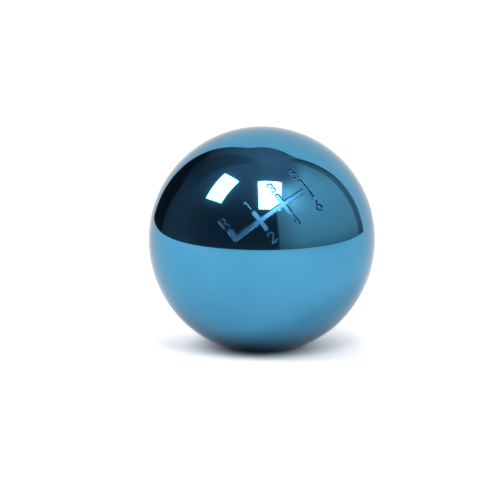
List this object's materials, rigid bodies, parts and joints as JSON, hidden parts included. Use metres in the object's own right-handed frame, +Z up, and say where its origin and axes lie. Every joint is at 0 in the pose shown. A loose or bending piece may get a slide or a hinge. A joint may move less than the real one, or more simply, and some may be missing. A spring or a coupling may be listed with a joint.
{
  "type": "gear shift knob",
  "caption": "Round weighted gear-shift knob in blue mirror-polished steel, engraved with a gate pattern, that screws onto a threaded lever by its locked insert.",
  "frame": {"origin": "centre of the flat on the underside, which the knob stands on and the lever enters through", "axes": "+Z up along the bore, the way the lever points; -Y towards the driver, the side the gate pattern is engraved on; +X to the driver's right"},
  "size_m": [0.05, 0.05, 0.0486],
  "materials": {
    "blue_steel": "mirror-polished steel with a blue vapour-deposited coating",
    "insert_steel": "satin turned stainless steel",
    "key_steel": "satin cold-drawn stainless steel"
  },
  "bodies": {
    "root": {"knob_ball": "blue_steel", "thread_insert": "insert_steel", "lock_key_1": "key_steel", "lock_key_2": "key_steel", "lock_key_3": "key_steel", "lock_key_4": "key_steel"}
  },
  "joints": []
}
